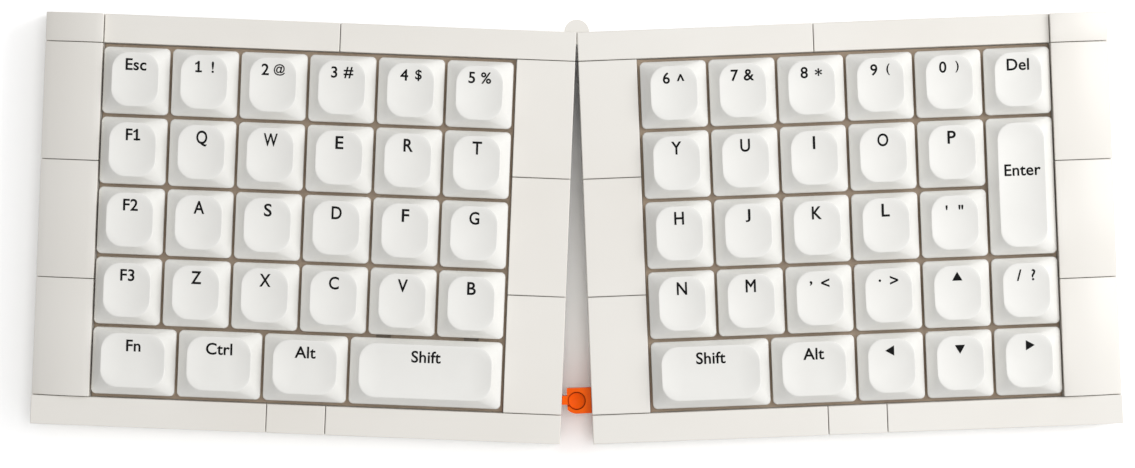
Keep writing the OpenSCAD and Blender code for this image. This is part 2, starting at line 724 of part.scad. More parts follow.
// The right coupling piece: a hook with a floor, and a round window in its roof over the post
module hook_link() {
    color("#ee5f14") half(RIGHT) {
        link_plate();
        difference() {
            union() {
                translate([-post_x, -link_y, hook_low_z]) cylinder(h = hook_top_z - hook_low_z, r = hook_r);
                block([-post_x, -link_y - hook_r, hook_low_z], [0, -link_y + hook_r, hook_top_z]);
                block([-post_x - hook_reach, -link_y, hook_low_z], [-post_x, -link_y + hook_r, hook_top_z]);
                block([-slack, -link_y - hook_r, link_z], [rail_w / 2, -link_y + hook_r, rim_z]);
            }
            block([-post_x - 2 * hook_r, -link_y - post_r - hook_gap, post_z - hook_gap],
                [-post_x, -link_y + post_r + hook_gap, hook_z]);
            translate([-post_x, -link_y, post_z - hook_gap])
                cylinder(h = hook_z - post_z + hook_gap, r = post_r + hook_gap);
            translate([-post_x, -link_y, post_z]) cylinder(h = post_h + hook_r, r = post_r + window_gap);
            block([-post_x - 2 * hook_r, -link_y - neck_w / 2 - window_gap, post_z],
                [-post_x, -link_y + neck_w / 2 + window_gap, hook_top_z + slack]);
            block([-post_x - 2 * hook_r, -link_y - hook_r, hook_low_z - slack],
                [-post_x - hook_reach, -link_y + hook_r, hook_top_z + slack]);
        }
    }
}

for (side = [LEFT, RIGHT]) let (name = side == LEFT ? "left_" : "right_") {
    base_tray(side);
    frame_tiles(side);
    hinge_tile(side);
    switch_plate(side);
    circuit_board(side);
    switches(side);
    switch_springs(side);
    battery(side);
    feet(side);
    screws(side);
}
post_link();
hook_link();
for (name = LEFT_KEY_NODES) key_node(LEFT, name);
for (name = RIGHT_KEY_NODES) key_node(RIGHT, name);
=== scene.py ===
import json
import math

import bmesh
import bpy
from mathutils import Matrix, Vector
from mathutils.bvhtree import BVHTree


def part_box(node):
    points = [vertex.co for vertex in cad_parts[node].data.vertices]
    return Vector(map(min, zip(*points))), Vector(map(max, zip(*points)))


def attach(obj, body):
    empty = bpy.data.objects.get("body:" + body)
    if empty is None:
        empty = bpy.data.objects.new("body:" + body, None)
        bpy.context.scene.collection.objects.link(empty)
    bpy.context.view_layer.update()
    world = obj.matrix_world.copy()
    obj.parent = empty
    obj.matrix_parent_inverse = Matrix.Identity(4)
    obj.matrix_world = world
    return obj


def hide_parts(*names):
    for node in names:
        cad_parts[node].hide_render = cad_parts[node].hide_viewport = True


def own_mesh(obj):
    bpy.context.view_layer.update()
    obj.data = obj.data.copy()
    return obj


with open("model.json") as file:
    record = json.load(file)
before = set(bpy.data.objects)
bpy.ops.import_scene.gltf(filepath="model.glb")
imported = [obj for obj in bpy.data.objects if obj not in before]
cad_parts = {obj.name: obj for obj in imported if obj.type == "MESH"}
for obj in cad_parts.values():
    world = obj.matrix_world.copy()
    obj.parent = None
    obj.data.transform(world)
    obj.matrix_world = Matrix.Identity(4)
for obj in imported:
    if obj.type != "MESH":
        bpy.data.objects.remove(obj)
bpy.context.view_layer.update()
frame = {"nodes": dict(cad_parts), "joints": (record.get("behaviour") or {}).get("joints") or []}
scene = bpy.context.scene
scene.view_settings.view_transform = "Standard"

# Base trays
# Each half stands on a tray moulded in cream ABS: a floor, four rails with studs on the rim, and seats
# for the feet and the coupling. The mould leaves a small round on its outer edges.
MM = 0.001
HINGE_AXIS = Vector(next(j for j in frame["joints"] if j["name"] == "angle_hinge")["pos_m"])
SPLIT_ANGLE = math.radians(4.54)
HALF_WIDTH = 144 * MM
HALF_DEPTH = 112 * MM
EDGE_GAP = 0.1 * MM
TRAY_ROUND = 0.3 * MM
SOCKET_X = 96 * MM
WELD = 0.001 * MM
NEAR = 10 * WELD
FLAT_ANGLE = math.radians(0.4)
CURVED_ANGLE = math.radians(35)
ROUND_STEPS = 3
TONE_LOW = 0.3
TONE_HIGH = 0.7
TONE_DETAIL = 3
GLOSS_PATCHES = 6
GLOSS_DETAIL = 4
GRAIN_DETAIL = 2
GRAIN_STRENGTH = 0.35
SIDES = {"left": -1, "right": 1}
HALF_PLACE = {
    half: Matrix.Translation((0, HINGE_AXIS.y, 0)) @ Matrix.Rotation(side * SPLIT_ANGLE / 2, 4, "Z")
    for half, side in SIDES.items()}


def softened(node, edge_round, picked, cuts=()):
    """A copy of a CAD node as clean faces, with a round on each sharp outer edge that is picked.

    Each cut is a point and a normal of a plane that parts the faces, for a wall with a window in it.
    """
    bm = bmesh.new()
    bm.from_mesh(frame["nodes"][node].data)
    bmesh.ops.remove_doubles(bm, verts=bm.verts, dist=WELD)
    for point, normal in cuts:
        parted = bmesh.ops.bisect_plane(bm, geom=bm.verts[:] + bm.edges[:] + bm.faces[:], dist=WELD,
                                        plane_co=point, plane_no=normal)
        for edge in (g for g in parted["geom_cut"] if type(g) is bmesh.types.BMEdge):
            edge.seam = True
    bmesh.ops.dissolve_limit(bm, angle_limit=FLAT_ANGLE, verts=bm.verts, edges=bm.edges, delimit={"SEAM"})
    for face in bm.faces:
        face.smooth = any(FLAT_ANGLE < edge.calc_face_angle(0) < CURVED_ANGLE for edge in face.edges)
    sharp = [e for e in bm.edges if e.is_convex and e.calc_face_angle(0) > CURVED_ANGLE and picked(e)]
    rounded = bmesh.ops.bevel(bm, geom=sharp, offset=edge_round, offset_type="OFFSET", affect="EDGES",
                              segments=ROUND_STEPS, profile=0.5, clamp_overlap=True, material=-1)
    for face in rounded["faces"]:
        face.smooth = True
    for edge in bm.edges:
        edge.smooth = edge.calc_face_angle(0) < CURVED_ANGLE
    return bm


def as_piece(bm, name, *finishes):
    """A new object at the origin that holds the mesh, with its finishes."""
    mesh = bpy.data.meshes.new(name)
    bm.to_mesh(mesh)
    bm.free()
    for finish in finishes:
        mesh.materials.append(finish)
    piece = bpy.data.objects.new(name, mesh)
    scene.collection.objects.link(piece)
    return piece


def srgb(red, green, blue):
    """A colour as the eye reads it, from 0 to 255, as the shader's linear colour."""
    shares = [c / 255 for c in (red, green, blue)]
    return [c / 12.92 if c <= 0.04045 else ((c + 0.055) / 1.055) ** 2.4 for c in shares] + [1]


def noise(nodes, links, where, size, detail):
    """A soft noise whose patches are about the given size, on the object's own coordinates."""
    texture = nodes.new("ShaderNodeTexNoise")
    texture.inputs["Scale"].default_value = 1 / size
    texture.inputs["Detail"].default_value = detail
    links.new(where.outputs["Object"], texture.inputs["Vector"])
    return texture.outputs["Fac"]


def grained(name, dark, light, patch, rough, grain, grain_depth, metallic=0, specular=0.5):
    """A plastic or metal finish: two tones in soft patches, an uneven gloss and a fine raised grain."""
    finish = bpy.data.materials.new(name)
    finish.use_nodes = True
    nodes = finish.node_tree.nodes
    links = finish.node_tree.links
    shader = nodes["Principled BSDF"]
    shader.inputs["Metallic"].default_value = metallic
    shader.inputs["Specular IOR Level"].default_value = specular
    where = nodes.new("ShaderNodeTexCoord")
    tones = nodes.new("ShaderNodeValToRGB")
    tones.color_ramp.elements[0].position = TONE_LOW
    tones.color_ramp.elements[0].color = dark
    tones.color_ramp.elements[1].position = TONE_HIGH
    tones.color_ramp.elements[1].color = light
    links.new(noise(nodes, links, where, patch, TONE_DETAIL), tones.inputs["Fac"])
    links.new(tones.outputs["Color"], shader.inputs["Base Color"])
    gloss = nodes.new("ShaderNodeMapRange")
    gloss.inputs["To Min"].default_value = rough[0]
    gloss.inputs["To Max"].default_value = rough[1]
    links.new(noise(nodes, links, where, patch / GLOSS_PATCHES, GLOSS_DETAIL), gloss.inputs["Value"])
    links.new(gloss.outputs["Result"], shader.inputs["Roughness"])
    bump = nodes.new("ShaderNodeBump")
    bump.inputs["Strength"].default_value = GRAIN_STRENGTH
    bump.inputs["Distance"].default_value = grain_depth
    links.new(noise(nodes, links, where, grain, GRAIN_DETAIL), bump.inputs["Height"])
    links.new(bump.outputs["Normal"], shader.inputs["Normal"])
    return finish


def on_outline(half):
    """A test for the edges that lie on the upright outer faces of a half."""
    to_half = HALF_PLACE[half].inverted()

    def both_ends(edge):
        for vert in edge.verts:
            place = to_half @ vert.co
            across = min(abs(abs(place.x) - x) for x in (EDGE_GAP, HALF_WIDTH - EDGE_GAP))
            along = min(abs(-place.y - y) for y in (EDGE_GAP, HALF_DEPTH - EDGE_GAP))
            if min(across, along) > NEAR:
                return False
        return True
    return both_ends


tray_plastic = grained("tray_plastic", srgb(228, 224, 216), srgb(234, 231, 224), patch=40 * MM,
                       rough=(0.38, 0.5), grain=0.25 * MM, grain_depth=0.01 * MM)
for half, side in SIDES.items():
    through_socket = (HALF_PLACE[half] @ Vector((side * SOCKET_X, 0, 0)), HALF_PLACE[half].col[0].xyz)
    tray = as_piece(softened(half + "_base_tray", TRAY_ROUND, on_outline(half), [through_socket]),
                    half + "_tray", tray_plastic)
    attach(tray, half + "_half")
    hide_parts(half + "_base_tray")

# Rubber feet
# Round pads of black rubber sit in shallow seats under both ends of the side rails. They are cut from
# sheet, so the edge is only lightly broken.
FOOT_ROUND = 0.4 * MM
foot_rubber = grained("foot_rubber", srgb(44, 43, 42), srgb(58, 57, 55), patch=6 * MM,
                      rough=(0.75, 0.9), grain=0.4 * MM, grain_depth=0.04 * MM)
for half in SIDES:
    foot_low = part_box(half + "_feet")[0]
    feet = as_piece(softened(half + "_feet", FOOT_ROUND,
                             lambda edge: all(v.co.z < foot_low.z + WELD for v in edge.verts)),
                    half + "_rubber_feet", foot_rubber)
    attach(feet, half + "_half")
    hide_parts(half + "_feet")

# Batteries
# A flat pouch cell in grey foil lies on the floor of each tray, below the circuit board. It is hidden, so
# its CAD block stays and only gets the creased foil.
battery_foil = grained("battery_foil", srgb(150, 153, 158), srgb(176, 178, 182), patch=9 * MM,
                       rough=(0.3, 0.5), grain=2 * MM, grain_depth=0.1 * MM, metallic=0.8)


def give_finish(node, finish):
    """Puts a finish on a CAD node in place of its plain one."""
    materials = frame["nodes"][node].data.materials
    materials.clear()
    materials.append(finish)


for half in SIDES:
    give_finish(half + "_battery", battery_foil)

# Circuit boards
# A board with a sand-coloured mask carries the switches on top, and the controller and the charging
# socket below. The socket is a drawn steel shell, seen in the recess of the rear rail.
SOCKET_HEIGHT = 3.2 * MM
TONGUE_WIDTH = 6.6 * MM
TONGUE_HEIGHT = 0.7 * MM
TONGUE_LENGTH = 5.4 * MM
TONGUE_INSET = 1 * MM
CHIP_BELOW = 1.5 * MM
PLUG_DEPTH = 5.5 * MM
TONGUE_ROUND = 0.2 * MM
TONGUE_STEPS = 2
solder_mask = grained("solder_mask", srgb(190, 170, 146), srgb(202, 182, 158), patch=5 * MM,
                      rough=(0.25, 0.4), grain=0.6 * MM, grain_depth=0.02 * MM)
chip_resin = grained("chip_resin", srgb(30, 30, 32), srgb(40, 40, 42), patch=3 * MM,
                     rough=(0.5, 0.65), grain=0.2 * MM, grain_depth=0.02 * MM)
socket_steel = grained("socket_steel", srgb(176, 178, 180), srgb(200, 201, 203), patch=2 * MM,
                       rough=(0.22, 0.36), grain=0.3 * MM, grain_depth=0.01 * MM, metallic=1)
for half, side in SIDES.items():
    bm = softened(half + "_circuit_board", TONGUE_ROUND, lambda edge: False)
    socket_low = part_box(half + "_circuit_board")[0].z
    board_low = socket_low + SOCKET_HEIGHT
    for face in bm.faces:
        if min(v.co.z for v in face.verts) < board_low - CHIP_BELOW:
            face.material_index = 1
        elif max(v.co.z for v in face.verts) < board_low + WELD:
            face.material_index = 2
    board = as_piece(bm, half + "_board", solder_mask, socket_steel, chip_resin)
    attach(board, half + "_half")
    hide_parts(half + "_circuit_board")
    bm = bmesh.new()
    bmesh.ops.create_cube(bm, size=1)
    bmesh.ops.scale(bm, vec=(TONGUE_WIDTH, TONGUE_LENGTH, TONGUE_HEIGHT), verts=bm.verts)
    bmesh.ops.bevel(bm, geom=bm.edges, offset=TONGUE_ROUND, affect="EDGES", segments=TONGUE_STEPS,
                    profile=0.5, material=-1)
    middle = (side * SOCKET_X, -PLUG_DEPTH - TONGUE_LENGTH / 2 - TONGUE_INSET, socket_low + SOCKET_HEIGHT / 2)
    bmesh.ops.translate(bm, vec=middle, verts=bm.verts)
    bm.transform(HALF_PLACE[half])
    tongue = as_piece(bm, half + "_socket_tongue", chip_resin)
    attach(tongue, half + "_half")

# Switch plates
# A stamped steel plate with taupe paint holds the switches. It shows in the gaps between the caps, and
# through its slots behind the wide keys.
plate_paint = grained("plate_paint", srgb(224, 201, 176), srgb(232, 210, 186), patch=12 * MM,
                      rough=(0.5, 0.65), grain=0.3 * MM, grain_depth=0.015 * MM)
for half in SIDES:
    give_finish(half + "_switch_plate", plate_paint)

# Screws
# Small steel screws go up through the bosses of the tray into the plate. Their heads are sunk in the
# floor and have a cross recess.
SCREW_HEAD = 4 * MM
SCREW_HEAD_HEIGHT = 1.4 * MM
SCREW_SHANK = 2 * MM
RECESS_REACH = 1.2 * MM
RECESS_WIDTH = 0.5 * MM
RECESS_DEPTH = 0.8 * MM
TURN_STEPS = 24
KEY_PITCH_X = 18.62 * MM
KEY_PITCH_Y = 19 * MM
STUD_PITCH = 8 * MM
KEY_COLUMNS = 6
KEY_ROWS = 5
SCREW_CORNERS = [(1, 1), (5, 1), (3, 2), (1, 3), (5, 3)]
RAIL_WIDTH = 2 * STUD_PITCH
BLOCK_REAR = -STUD_PITCH - (HALF_DEPTH - 2 * STUD_PITCH - KEY_ROWS * KEY_PITCH_Y) / 2
BLOCK_OUT = 0.2 * MM
BLOCK_LEFT = {
    half: (RAIL_WIDTH if half == "right" else RAIL_WIDTH - HALF_WIDTH)
    + (HALF_WIDTH - 2 * RAIL_WIDTH - KEY_COLUMNS * KEY_PITCH_X) / 2 + side * BLOCK_OUT
    for half, side in SIDES.items()}
screw_steel = grained("screw_steel", srgb(150, 151, 153), srgb(182, 183, 184), patch=1.5 * MM,
                      rough=(0.25, 0.42), grain=0.2 * MM, grain_depth=0.008 * MM, metallic=1)


def join_at(whole, part, place):
    """Adds a part's mesh to a whole, moved to its place, and frees the part."""
    part.transform(place)
    mesh = bpy.data.meshes.new("joined")
    part.to_mesh(mesh)
    part.free()
    whole.from_mesh(mesh)
    bpy.data.meshes.remove(mesh)


def turned(bm, profile, place):
    """A body of revolution at a place, from radius and height of each ring: its first and last ring."""
    rings = []
    for radius, height in profile:
        at = Matrix.Translation((place[0], place[1], height))
        verts = bmesh.ops.create_circle(bm, segments=TURN_STEPS, radius=radius, matrix=at)["verts"]
        rings.append(list({edge for vert in verts for edge in vert.link_edges}))
    for near, far in zip(rings, rings[1:]):
        bmesh.ops.bridge_loops(bm, edges=near + far)
    return rings[0], rings[-1]


def screw(low, high):
    """A screw that stands on its head at z = low and ends at z = high."""
    bm = bmesh.new()
    for vert in bmesh.ops.create_grid(bm, x_segments=3, y_segments=3, size=RECESS_REACH)["verts"]:
        for axis in range(2):
            if abs(vert.co[axis]) < RECESS_REACH / 2:
                vert.co[axis] = math.copysign(RECESS_WIDTH / 2, vert.co[axis])
    corners = [face for face in bm.faces
               if min(abs(c) for c in face.calc_center_median()[:2]) > RECESS_WIDTH / 2]
    bmesh.ops.delete(bm, geom=corners, context="FACES")
    mouth = bm.faces[:]
    sunk = bmesh.ops.extrude_face_region(bm, geom=mouth)["geom"]
    floor = [g for g in sunk if type(g) is bmesh.types.BMVert]
    bmesh.ops.translate(bm, vec=(0, 0, RECESS_DEPTH), verts=floor)
    bmesh.ops.delete(bm, geom=mouth, context="FACES")
    recess = [edge for edge in bm.edges if edge.is_boundary]
    first, last = turned(bm, [(SCREW_HEAD / 2, 0), (SCREW_HEAD / 2, SCREW_HEAD_HEIGHT),
                              (SCREW_SHANK / 2, SCREW_HEAD_HEIGHT), (SCREW_SHANK / 2, high - low)], (0, 0))
    bmesh.ops.triangle_fill(bm, edges=recess + first, use_beauty=True)
    bmesh.ops.contextual_create(bm, geom=last)
    bmesh.ops.recalc_face_normals(bm, faces=bm.faces)
    bmesh.ops.translate(bm, vec=(0, 0, low), verts=bm.verts)
    return bm


for half in SIDES:
    screw_low, screw_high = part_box(half + "_screws")
    whole = bmesh.new()
    for column, row in SCREW_CORNERS:
        corner = (BLOCK_LEFT[half] + column * KEY_PITCH_X, BLOCK_REAR - row * KEY_PITCH_Y, 0)
        join_at(whole, screw(screw_low.z, screw_high.z), HALF_PLACE[half] @ Matrix.Translation(corner))
    screws = as_piece(whole, half + "_cross_screws", screw_steel)
    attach(screws, half + "_half")
    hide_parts(half + "_screws")

# Switches
# Each key has a switch in a cream moulded housing that snaps into the plate and stands on the board. The
# caps cover it, so its CAD shape stays and only gets the plastic.
switch_plastic = grained("switch_plastic", srgb(206, 196, 182), srgb(216, 207, 194), patch=5 * MM,
                         rough=(0.4, 0.55), grain=0.3 * MM, grain_depth=0.015 * MM)
for half in SIDES:
    give_finish(half + "_switches", switch_plastic)

# Frame tiles
# Smooth tiles of cream ABS snap on the studs of the tray and cover the rails, with a hairline seam
# between neighbours and a fine round on their upper edges. The outer side tiles curve down outwards.
TILE_ROUND = 0.22 * MM
CURVE_DEPTH = 3.2 * MM
tile_plastic = grained("tile_plastic", srgb(231, 227, 220), srgb(236, 233, 227), patch=60 * MM,
                       rough=(0.3, 0.4), grain=0.3 * MM, grain_depth=0.006 * MM)


def at_top(node, depth=NEAR):
    """A test for the edges that reach to within a depth of a node's top."""
    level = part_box(node)[1].z - depth

    def reaches(edge):
        return max(v.co.z for v in edge.verts) > level
    return reaches


for half in SIDES:
    for cad_name, name, depth in (("_frame_tiles", "_tiles", CURVE_DEPTH),
                                  ("_hinge_tile", "_ear_tile", NEAR)):
        upper = at_top(half + cad_name, depth)
        tiles = as_piece(softened(half + cad_name, TILE_ROUND, upper), half + name, tile_plastic)
        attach(tiles, half + "_half")
        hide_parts(half + cad_name)

# Coupling
# Two orange pieces bridge the gap: a dished round post on a neck from the left half, and a hook from
# the right half that closes over it. Both are glossy ABS, clamped under the tiles.
LINK_ROUND = 0.18 * MM
coupling_plastic = grained("coupling_plastic", srgb(242, 88, 0), srgb(247, 100, 3), patch=4 * MM,
                           rough=(0.28, 0.4), grain=0.3 * MM, grain_depth=0.008 * MM, specular=0.07)
for cad_name, name, half in (("post_link", "coupling_post", "left"),
                             ("hook_link", "coupling_hook", "right")):
    link = as_piece(softened(cad_name, LINK_ROUND, at_top(cad_name)), name, coupling_plastic)
    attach(link, half + "_half")
    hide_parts(cad_name)

# Keycaps
# Each cap is moulded in white PBT: a low skirt, sides that sweep in to a squarish rim, and a shallow
# round dish. It is hollow below and presses on the cross of its switch's stem.
CAP_GAP_X = 0.65 * MM
CAP_GAP_Y = 0.85 * MM
CAP_HEIGHT = 4.6 * MM
CAP_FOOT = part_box("key_q")[1].z - CAP_HEIGHT
SKIRT_HEIGHT = 0.9 * MM
SKIRT_LEAN = 0.12 * MM
FOOT_BREAK = 0.12 * MM
LEAN_SIDE = 2.65 * MM
LEAN_REAR = 1.45 * MM
LEAN_FRONT = 2.1 * MM
FOOT_CORNER = 1.3 * MM
RIM_CORNER = 4.6 * MM
SWEEP = 0.45
SWEEP_STEPS = (0.12, 0.3, 0.5, 0.7, 0.86, 0.95, 0.99)
DISH_DEPTH = 0.8 * MM
DISH_RADIUS = 31 * MM
DISH_STEPS = (0.01, 0.035, 0.1, 0.25, 0.4, 0.55, 0.7, 0.85, 0.96)
CAP_WALL = 1.2 * MM
INNER_CORNER = 0.3 * MM
CAP_CEILING = 2.6 * MM
RING_STEPS = 32
STRAIGHT_CUTS = 3
STATION = 1 * MM
cap_plastic = grained("cap_plastic", srgb(235, 234, 230), srgb(239, 238, 234), patch=15 * MM,
                      rough=(0.45, 0.58), grain=0.22 * MM, grain_depth=0.008 * MM)


def rounded_ring(bm, low, high, corner, station):
    """A ring of edges round a box with round corners: a circle pulled apart, at its station's height."""
    start = Matrix.Rotation(math.pi / RING_STEPS, 4, "Z")
    for vert in bmesh.ops.create_circle(bm, segments=RING_STEPS, radius=corner, matrix=start)["verts"]:
        vert.co.x += high.x - corner if vert.co.x > 0 else low.x + corner
        vert.co.y += high.y - corner if vert.co.y > 0 else low.y + corner
        vert.co.z = station * STATION


def dish_height(x, y, stretch):
    """Height of the dish above the foot of a cap, level with the rim outside it."""
    across = max(abs(x) - stretch.x / 2, 0)
    along = max(abs(y - (LEAN_FRONT - LEAN_REAR) / 2) - stretch.y / 2, 0)
    drop = DISH_RADIUS - math.sqrt(DISH_RADIUS ** 2 - across ** 2 - along ** 2)
    return CAP_HEIGHT - DISH_DEPTH + min(drop, DISH_DEPTH)


def cap(columns, rows):
    """A hollow cap that covers a number of columns and rows, its foot at z = 0."""
    size = Vector((columns * KEY_PITCH_X - CAP_GAP_X, rows * KEY_PITCH_Y - CAP_GAP_Y))
    stretch = Vector(((columns - 1) * KEY_PITCH_X, (rows - 1) * KEY_PITCH_Y))
    lean_low = Vector((LEAN_SIDE, LEAN_FRONT))
    lean_high = Vector((LEAN_SIDE, LEAN_REAR))
    rim_low = lean_low - size / 2
    rim_high = size / 2 - lean_high
    bm = bmesh.new()
    heights = []

    def add_ring(share, wall, corner, height):
        inner = Vector((wall, wall))
        low = lean_low * share + inner - size / 2
        rounded_ring(bm, low, size / 2 - lean_high * share - inner, corner, len(heights))
        heights.append(height)

    def sweep_height(step):
        def height(x, y):
            inner_x = min(max(x, rim_low.x), rim_high.x)
            inner_y = min(max(y, rim_low.y), rim_high.y)
            rise = (1 - SWEEP) * step + SWEEP * step ** 2
            return SKIRT_HEIGHT + (dish_height(inner_x, inner_y, stretch) - SKIRT_HEIGHT) * rise
        return height

    add_ring(CAP_CEILING / CAP_HEIGHT, CAP_WALL, INNER_CORNER, lambda x, y: CAP_CEILING)
    add_ring(0, CAP_WALL, INNER_CORNER, lambda x, y: 0)
    add_ring(0, FOOT_BREAK, FOOT_CORNER, lambda x, y: 0)
    add_ring(0, 0, FOOT_CORNER, lambda x, y: FOOT_BREAK)
    add_ring(0, SKIRT_LEAN, FOOT_CORNER, lambda x, y: SKIRT_HEIGHT)
    for step in SWEEP_STEPS:
        corner = FOOT_CORNER + (RIM_CORNER - FOOT_CORNER) * step
        add_ring(step, SKIRT_LEAN * (1 - step), corner, sweep_height(step))
    reach = min(rim_high.x - rim_low.x, rim_high.y - rim_low.y) / 2
    for step in DISH_STEPS:
        add_ring(1, reach * step, RIM_CORNER * (1 - step), lambda x, y: dish_height(x, y, stretch))
    longest_arc = RIM_CORNER * 2 * math.pi / RING_STEPS
    straight = [edge for edge in bm.edges if edge.calc_length() > longest_arc]
    bmesh.ops.bisect_edges(bm, edges=straight, cuts=STRAIGHT_CUTS)
    rings = [[] for _ in heights]
    for edge in bm.edges:
        rings[round(edge.verts[0].co.z / STATION)].append(edge)
    bmesh.ops.contextual_create(bm, geom=rings[0])
    bmesh.ops.contextual_create(bm, geom=rings[-1])
    for near, far in zip(rings, rings[1:]):
        bmesh.ops.bridge_loops(bm, edges=near + far)
    for vert in bm.verts:
        vert.co.z = heights[round(vert.co.z / STATION)](vert.co.x, vert.co.y)
    bmesh.ops.recalc_face_normals(bm, faces=bm.faces)
    for face in bm.faces:
        face.smooth = True
    for edge in bm.edges:
        edge.smooth = edge.calc_face_angle(0) < CURVED_ANGLE
    return bm


# Stems
# A round slider of the same plastic runs in the switch below each cap, closed by a cross at the top and
# open below for the spring. The two long caps also have a guide post at each end.
STEM_RADIUS = 2.95 * MM
STEM_BORE = 2.05 * MM
STEM_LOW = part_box("key_q")[0].z
SEAT_GAP = 0.05 * MM
STEM_TOP = CAP_FOOT + CAP_CEILING - SEAT_GAP
STEM_ROOF = 1.2 * MM
CROSS_LENGTH = 4 * MM
CROSS_WIDTH = 1.2 * MM
CROSS_HEIGHT = 0.6 * MM
GUIDE_RADIUS = 1.5 * MM
GUIDE_REACH = 11.94 * MM
GUIDE_SUNK = 0.3 * MM
GUIDE_TOP = CAP_FOOT + CAP_CEILING + GUIDE_SUNK
LONG_PITCHES = 2


def stem(columns, rows):
    """The slider of a key, with the guide posts of a long one, at their real heights."""
    bm = bmesh.new()
    ends = turned(bm, [(STEM_BORE, STEM_TOP - STEM_ROOF), (STEM_BORE, STEM_LOW), (STEM_RADIUS, STEM_LOW),
                       (STEM_RADIUS, STEM_TOP)], (0, 0))
    for long_x, long_y in ((CROSS_LENGTH, CROSS_WIDTH), (CROSS_WIDTH, CROSS_LENGTH)):
        arm = bmesh.ops.create_cube(bm, size=1)["verts"]
        bmesh.ops.scale(bm, vec=(long_x, long_y, CROSS_HEIGHT), verts=arm)
        bmesh.ops.translate(bm, vec=(0, 0, STEM_TOP + CROSS_HEIGHT / 2), verts=arm)
    if max(columns, rows) >= LONG_PITCHES:
        for side in (-1, 1):
            place = (side * GUIDE_REACH, 0) if columns > rows else (0, side * GUIDE_REACH)
            ends += turned(bm, [(GUIDE_RADIUS, STEM_LOW), (GUIDE_RADIUS, GUIDE_TOP)], place)
    for ring in ends:
        bmesh.ops.contextual_create(bm, geom=ring)
    bmesh.ops.recalc_face_normals(bm, faces=bm.faces)
    return bm


# Return springs
# A steel coil in each switch pushes the stem up. It stands on the floor of the housing.
SPRING_RADIUS = 1.8 * MM
SPRING_WIRE = 0.2 * MM
SPRING_TURNS = 7
COIL_STEPS = 12
WIRE_STEPS = 6
spring_steel = grained("spring_steel", srgb(170, 171, 173), srgb(196, 197, 198), patch=1 * MM,
                       rough=(0.2, 0.35), grain=0.1 * MM, grain_depth=0.004 * MM, metallic=1)


def coil(low, high):
    """A round wire wound from z = low to z = high."""
    bm = bmesh.new()
    start = Matrix.Translation((SPRING_RADIUS, 0, low + SPRING_WIRE)) @ Matrix.Rotation(math.pi / 2, 4, "X")
    ring = bmesh.ops.create_circle(bm, segments=WIRE_STEPS, radius=SPRING_WIRE, matrix=start)["verts"]
    steps = SPRING_TURNS * COIL_STEPS
    climb = (high - low - 2 * SPRING_WIRE) / steps
    bmesh.ops.spin(bm, geom=ring + list({edge for vert in ring for edge in vert.link_edges}), cent=(0, 0, 0),
                   axis=(0, 0, 1), dvec=(0, 0, climb), angle=2 * math.pi * SPRING_TURNS, steps=steps)
    bmesh.ops.holes_fill(bm, edges=[edge for edge in bm.edges if edge.is_boundary], sides=WIRE_STEPS)
    bmesh.ops.recalc_face_normals(bm, faces=bm.faces)
    for face in bm.faces:
        face.smooth = len(face.verts) == 4
    return bm


# Legends
# Plain black letters are dyed into the rear of each dish. They are drawn in the built-in font, as a thin
# film that follows the dish.
LETTER_HEIGHT = 3.5 * MM
LETTER_WIDTH = 2.2 * MM
WIDE_SHARE = 0.48
TAILED = "Q"
WORD_HEIGHT = 3.1 * MM
SIGN_STEP = 3.85 * MM
LETTER_REAR = 4.4 * MM
LETTER_WEIGHT = 0.016
LETTER_SPACE = 1.02
LETTER_STEPS = 4
FLAG_WIDTH = 0.75 * MM
FLAG_DROP = 0.6 * MM
STROKE = 0.5 * MM
FOOT_WIDTH = 1.8 * MM
INK_ABOVE = 0.03 * MM
INK_BELOW = 0.03 * MM
ARROW_RADIUS = 1.6 * MM
ARROWS = {"up": 0, "left": 90, "down": 180, "right": 270}
legend_ink = grained("legend_ink", srgb(8, 8, 9), srgb(14, 14, 15), patch=2 * MM,
                     rough=(0.45, 0.6), grain=0.2 * MM, grain_depth=0.004 * MM, specular=0.1)


def word(text):
    """The flat faces of a word, centred across and standing on y = 0, one unit to the em."""
    curve = bpy.data.curves.new("word", "FONT")
    curve.body = text
    curve.align_x = "CENTER"
    curve.resolution_u = LETTER_STEPS
    curve.bevel_depth = LETTER_WEIGHT
    curve.bevel_resolution = 0
    curve.fill_mode = "FRONT"
    curve.space_character = LETTER_SPACE
    holder = bpy.data.objects.new("word", curve)
    mesh = bpy.data.meshes.new_from_object(holder)
    bm = bmesh.new()
    bm.from_mesh(mesh)
    bpy.data.objects.remove(holder)
    bpy.data.curves.remove(curve)
    bpy.data.meshes.remove(mesh)
    return bm


capital = word("H")
CAPITAL_SHARE = max(v.co.y for v in capital.verts)
capital.free()


def bar(bm, low, high, skew):
    """A flat bar between two corners, its left end lowered by the skew."""
    verts = bmesh.ops.create_grid(bm, x_segments=1, y_segments=1, size=0.5)["verts"]
    bmesh.ops.scale(bm, vec=(high[0] - low[0], high[1] - low[1], 1), verts=verts)
    bmesh.ops.translate(bm, vec=((low[0] + high[0]) / 2, (low[1] + high[1]) / 2, 0), verts=verts)
    for vert in verts:
        vert.co.y -= skew if vert.co.x < (low[0] + high[0]) / 2 else 0


def ink_box(bm):
    """The lowest and the highest corner of flat faces."""
    across = [vert.co.x for vert in bm.verts]
    along = [vert.co.y for vert in bm.verts]
    return Vector((min(across), min(along), 0)), Vector((max(across), max(along), 0))


def arrow(turn):
    """A three-cornered arrow that points to the rear, turned by an angle."""
    bm = bmesh.new()
    bmesh.ops.create_circle(bm, cap_ends=True, segments=3, radius=ARROW_RADIUS,
                            matrix=Matrix.Rotation(math.radians(turn), 4, "Z"))
    return bm


